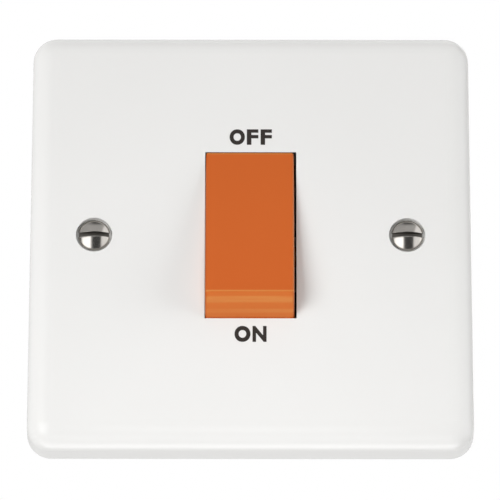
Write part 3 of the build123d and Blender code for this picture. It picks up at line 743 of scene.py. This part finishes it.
# Painted shade: a darker ring round the head's edge, where it sinks into the plate's bore
rim_painted_shade = plated_metal(
    "rim_painted_shade",
    colour=(0.4, 0.375, 0.34, 1.0),
    tarnish=(0.28, 0.26, 0.235, 1.0),
    roughness=(0.3, 0.42),
    brushing=0.3,
)
fixing_outline = [
    (0.7 * fixing_root_r, -fixing_length),
    (fixing_root_r, -fixing_length + fixing_tip),
    (fixing_root_r, neck_end - 0.25 * mm),
    (fixing_neck_r, neck_end + 0.15 * mm),
    (fixing_neck_r, fixing_neck_r - fixing_head_r),
    (fixing_head_r, 0),
]
for ring in range(dome_rings - 1, 0, -1):
    lean = dome_half * ring / dome_rings
    fixing_outline.append((dome_r * math.sin(lean), fixing_dome - dome_r * (1 - math.cos(lean))))
fixing_thread_low = -fixing_length + 0.3 * mm
facing_front = (math.radians(90), 0, 0)
left_fixing = turned("fixing_screw_left", fixing_outline, nickel)
slotted(left_fixing, fixing_dome, fixing_slot, fixing_slot_depth, turn=0, edge=0.05 * mm)
left_fixing.data.materials.append(rim_painted_shade)
# The head's outer ring gets the painted shade
for face in left_fixing.data.polygons:
    if math.hypot(face.center.x, face.center.y) > fixing_head_r - painted_shade_rim and face.center.z > 0:
        face.material_index = left_fixing.data.materials.find("rim_painted_shade")
rolled_thread(left_fixing, fixing_root_r, fixing_thread_r, fixing_pitch, fixing_thread_low, neck_end)
right_fixing = copied(left_fixing, "fixing_screw_right")
for screw, x in ((left_fixing, -fixing_x), (right_fixing, fixing_x)):
    set_piece(screw, facing_front, Vector((x, fixing_y, 0)), screw_smooth_angle)
    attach(screw, "housing")
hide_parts("fixing_screws")


# STUDIO
# A white room with a pale floor far below the switch. A large soft lamp at the left throws the rocker's
# shadow to the right, a small one in front lights the plate from below, and a white card is at the right.
floor_size = 8.0
floor_depth = 1.6
bpy.ops.object.select_all(action="DESELECT")
bpy.ops.mesh.primitive_plane_add(size=floor_size, location=(0, 0, -floor_depth))
floor = bpy.context.object
floor.name = "studio_floor"
floor_paint = bpy.data.materials.new("floor_paint")
floor_paint.use_nodes = True
floor_nodes = floor_paint.node_tree.nodes
floor_links = floor_paint.node_tree.links
floor_shader = floor_nodes["Principled BSDF"]
floor_shader.inputs["Base Color"].default_value = (0.85, 0.85, 0.85, 1)
floor_shader.inputs["Roughness"].default_value = 0.8
floor_ray = floor_nodes.new("ShaderNodeLightPath")
floor_white = floor_nodes.new("ShaderNodeEmission")
floor_mix = floor_nodes.new("ShaderNodeMixShader")
floor_links.new(floor_ray.outputs["Is Camera Ray"], floor_mix.inputs["Fac"])
floor_links.new(floor_shader.outputs["BSDF"], floor_mix.inputs[1])
floor_links.new(floor_white.outputs["Emission"], floor_mix.inputs[2])
floor_links.new(floor_mix.outputs["Shader"], floor_nodes["Material Output"].inputs["Surface"])
floor.data.materials.append(floor_paint)
floor.visible_glossy = False
floor.visible_diffuse = False

studio = bpy.data.worlds.new("studio")
bpy.context.scene.world = studio
studio.use_nodes = True
air_nodes = studio.node_tree.nodes
air_links = studio.node_tree.links
compass = air_nodes.new("ShaderNodeTexCoord")
heading = air_nodes.new("ShaderNodeSeparateXYZ")
air_links.new(compass.outputs["Generated"], heading.inputs["Vector"])
across = heading.outputs["X"]
inward = heading.outputs["Y"]
upward = heading.outputs["Z"]
brightest_band = 2.0


def combine(operation, *values):
    """One step of arithmetic on brightnesses and plain numbers."""
    step = air_nodes.new("ShaderNodeMath")
    step.operation = operation
    for socket, value in zip(step.inputs, values):
        if isinstance(value, (int, float)):
            socket.default_value = value
        else:
            air_links.new(value, socket)
    return step.outputs["Value"]


def bands(source, stops):
    """Brightness that eases from stop to stop as one part of a direction goes from -1 to 1."""
    shifted = combine("MULTIPLY_ADD", source, 0.5, 0.5)
    ramp = air_nodes.new("ShaderNodeValToRGB")
    ramp.color_ramp.interpolation = "EASE"
    while len(ramp.color_ramp.elements) < len(stops):
        ramp.color_ramp.elements.new(1.0)
    for element, (direction, brightness) in zip(ramp.color_ramp.elements, stops):
        share = brightness / brightest_band
        element.position = (direction + 1) / 2
        element.color = (share, share, share, 1)
    air_links.new(shifted, ramp.inputs["Fac"])
    return combine("MULTIPLY", ramp.outputs["Color"], brightest_band)


# Directions behind the switch, with a soft border to those in front of it
behind = bands(inward, ((-0.15, 0.0), (0.2, 1.0)))
in_front = combine("SUBTRACT", 1.0, behind)

# What the room sheds on the switch: a strip above the camera, the card, a low fill and the backdrop's glow
card_gain = 1.4
strip = combine(
    "MULTIPLY",
    bands(across, ((-0.4, 0.0), (-0.16, 1.0), (0.16, 1.0), (0.4, 0.0))),
    bands(upward, ((0.1, 0.2), (0.5, 0.8))),
)
card = combine(
    "MULTIPLY",
    bands(across, ((0.82, 0.0), (0.94, 2.0))),
    combine("MULTIPLY", bands(upward, ((-0.45, 0.0), (-0.15, 2.0))), card_gain),
)
low_fill = bands(upward, ((-0.95, 0.4), (-0.55, 0.0)))
lit_front = combine("ADD", combine("ADD", strip, card), low_fill)
backdrop_glow = combine(
    "MULTIPLY",
    bands(upward, ((-0.6, 1.8), (-0.1, 1.4), (0.3, 1.25), (0.8, 2.0))),
    bands(inward, ((0.5, 1.0), (0.9, 0.6))),
)
lit_behind = combine("MULTIPLY", bands(across, ((-1.0, 0.2), (0.0, 1.1), (1.0, 0.45))), backdrop_glow)
lit = combine("ADD", combine("MULTIPLY", lit_front, in_front), combine("MULTIPLY", lit_behind, behind))

# What bright surfaces mirror in front: the lamp's screen, a dark gap by the camera, the card and the ceiling
lamp_screen = combine(
    "MULTIPLY",
    bands(across, ((-0.82, 0.0), (-0.74, 1.65), (-0.27, 1.65), (-0.2, 0.0))),
    bands(upward, ((-0.66, 0.0), (-0.58, 1.0), (0.14, 1.0), (0.22, 0.0))),
)
left_wall = ((-0.85, 0.06), (-0.7, 0.3), (-0.2, 0.3), (-0.08, 0.06))
right_wall = ((0.4, 0.06), (0.5, 0.95), (0.78, 0.95), (0.88, 1.8))
walls = bands(across, left_wall + right_wall)
ceiling = bands(upward, ((0.1, 0.0), (0.35, 0.42), (0.86, 0.42), (0.96, 0.08)))
screens = combine("MAXIMUM", lamp_screen, combine("MAXIMUM", walls, ceiling))
mirrored_front = combine("MULTIPLY", screens, in_front)

# What they mirror behind and below: the backdrop, dark at the right up to the card, its foot and the floor
floor_gain = 1.4
mirrored_backdrop = combine("MULTIPLY", behind, bands(across, ((0.2, 0.72), (0.8, 0.05), (0.94, 1.4))))
backdrop_foot = combine(
    "MULTIPLY",
    bands(upward, ((-0.84, 1.8), (-0.72, 0.0))),
    bands(inward, ((0.06, 0.0), (0.18, 2.0))),
)
mirrored_behind = combine("MAXIMUM", mirrored_backdrop, backdrop_foot)
pale_floor = combine("MULTIPLY", bands(upward, ((-0.95, 1.0), (-0.8, 0.9), (-0.66, 0.0))), floor_gain)
mirrored = combine("MAXIMUM", combine("ADD", mirrored_front, mirrored_behind), pale_floor)

seen = air_nodes.new("ShaderNodeLightPath")
glossy = seen.outputs["Is Glossy Ray"]
not_glossy = combine("SUBTRACT", 1.0, glossy)
room_light = combine("ADD", combine("MULTIPLY", lit, not_glossy), combine("MULTIPLY", mirrored, glossy))
room = air_nodes["Background"]
room.inputs["Color"].default_value = (1, 1, 1, 1)
air_links.new(room_light, room.inputs["Strength"])
backdrop = air_nodes.new("ShaderNodeBackground")
backdrop.inputs["Color"].default_value = (1, 1, 1, 1)
backdrop.inputs["Strength"].default_value = 1.0
show = air_nodes.new("ShaderNodeMixShader")
plain_view = combine("MAXIMUM", seen.outputs["Is Camera Ray"], seen.outputs["Is Transmission Ray"])
air_links.new(plain_view, show.inputs["Fac"])
air_links.new(room.outputs["Background"], show.inputs[1])
air_links.new(backdrop.outputs["Background"], show.inputs[2])
air_links.new(show.outputs["Shader"], air_nodes["World Output"].inputs["Surface"])


def soft_lamp(name, place, width, height, watts):
    """A soft lamp that faces the switch. Bright surfaces mirror the room's screens in its stead."""
    lamp = bpy.data.lights.new(name, "AREA")
    lamp.shape = "RECTANGLE"
    lamp.size = width
    lamp.size_y = height
    lamp.energy = watts
    stand = bpy.data.objects.new(name, lamp)
    bpy.context.scene.collection.objects.link(stand)
    stand.location = place
    stand.rotation_euler = (-Vector(place)).to_track_quat("-Z", "Y").to_euler()
    stand.visible_camera = False
    stand.visible_glossy = False


soft_lamp("lamp_left", place=(-2.3, -2.37, -0.35), width=2.3, height=3.1, watts=118.0)
soft_lamp("lamp_front", place=(0.0, -0.145, -0.095), width=0.06, height=0.06, watts=0.0575)


# CAMERA
# A long lens from a little below the switch, level with its middle from side to side, as in the photograph.
# It is rolled by a trace, as the photograph is.
camera_distance = 0.9593
camera_below = math.radians(21.58)
camera_roll = math.radians(0.07)
aim = Vector((-0.12, -3.54, -1.16)) * mm
camera_lens = bpy.data.cameras.new("camera")
camera_lens.sensor_width = 36
camera_lens.lens = 357.1
camera_lens.clip_start = 0.01
camera_lens.clip_end = 20
camera = bpy.data.objects.new("camera", camera_lens)
bpy.context.scene.collection.objects.link(camera)
sight_line = Vector((0, math.cos(camera_below), math.sin(camera_below)))
camera.location = aim - sight_line * camera_distance
camera.rotation_mode = "QUATERNION"
roll = Matrix.Rotation(camera_roll, 3, "Z").to_quaternion()
camera.rotation_quaternion = sight_line.to_track_quat("-Z", "Y") @ roll
bpy.context.scene.camera = camera
bpy.context.scene.view_settings.view_transform = "Standard"
